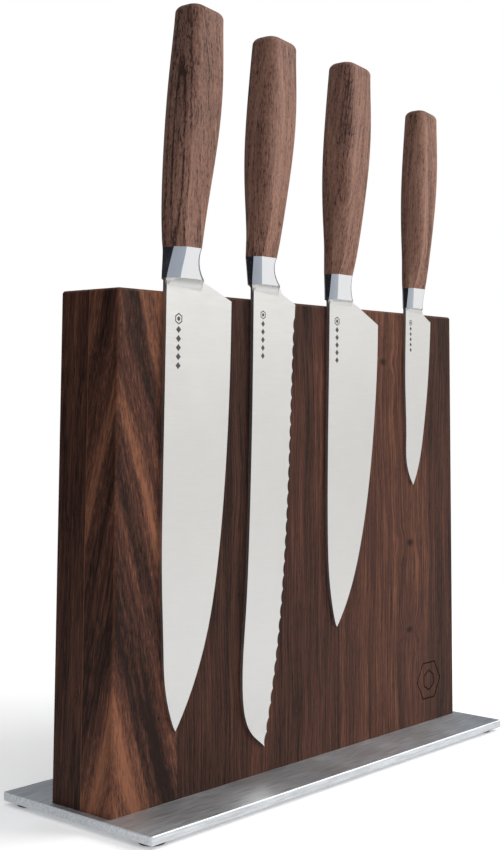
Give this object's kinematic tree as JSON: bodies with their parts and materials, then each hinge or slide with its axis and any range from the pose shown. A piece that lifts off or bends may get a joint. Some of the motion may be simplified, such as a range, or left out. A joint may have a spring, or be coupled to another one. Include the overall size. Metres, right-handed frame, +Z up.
{
  "type": "magnetic knife block",
  "caption": "Free-standing wooden knife block with magnets inside both faces, on a steel base plate with rubber feet, holding kitchen knives that pull off the front.",
  "frame": {"origin": "Centre of the footprint, on the surface that the rubber feet stand on.", "axes": "+X runs along the width of the block, to the right of a person facing the knives; -Y is the front face, where the knives hang; +Z is up."},
  "size_m": [0.282, 0.1, 0.3824],
  "materials": {
    "block_wood": "oiled dark walnut staves, satin",
    "handle_wood": "oiled walnut, fine sanded",
    "blade_steel": "fine satin ground stainless steel",
    "bolster_steel": "mirror polished stainless steel",
    "base_steel": "stainless steel brushed along its length",
    "screw_steel": "plain stainless steel",
    "magnet": "dark sealed ferrite",
    "mild_steel": "plain rolled mild steel strip",
    "foot_rubber": "matt dark rubber"
  },
  "bodies": {
    "rack": {"front_stave_1": "block_wood", "front_stave_2": "block_wood", "front_stave_3": "block_wood", "front_stave_4": "block_wood", "front_stave_5": "block_wood", "rear_stave_1": "block_wood", "rear_stave_2": "block_wood", "rear_stave_3": "block_wood", "rear_stave_4": "block_wood", "rear_stave_5": "block_wood", "front_magnets": "magnet", "front_yoke_strips": "mild_steel", "rear_magnets": "magnet", "rear_yoke_strips": "mild_steel", "base_plate": "base_steel", "base_screws": "screw_steel", "rubber_feet": "foot_rubber"},
    "chef_knife": {"chef_blade": "blade_steel", "chef_bolster": "bolster_steel", "chef_handle": "handle_wood"},
    "bread_knife": {"bread_blade": "blade_steel", "bread_bolster": "bolster_steel", "bread_handle": "handle_wood"},
    "small_chef_knife": {"small_chef_blade": "blade_steel", "small_chef_bolster": "bolster_steel", "small_chef_handle": "handle_wood"},
    "paring_knife": {"paring_blade": "blade_steel", "paring_bolster": "bolster_steel", "paring_handle": "handle_wood"}
  },
  "joints": [
    {"name": "chef_pull_off", "type": "slide", "parent": "rack", "child": "chef_knife", "axis": [0, -1, 0], "range_m": [0, 0.12]},
    {"name": "bread_pull_off", "type": "slide", "parent": "rack", "child": "bread_knife", "axis": [0, -1, 0], "range_m": [0, 0.12]},
    {"name": "small_chef_pull_off", "type": "slide", "parent": "rack", "child": "small_chef_knife", "axis": [0, -1, 0], "range_m": [0, 0.12]},
    {"name": "paring_pull_off", "type": "slide", "parent": "rack", "child": "paring_knife", "axis": [0, -1, 0], "range_m": [0, 0.12]}
  ]
}
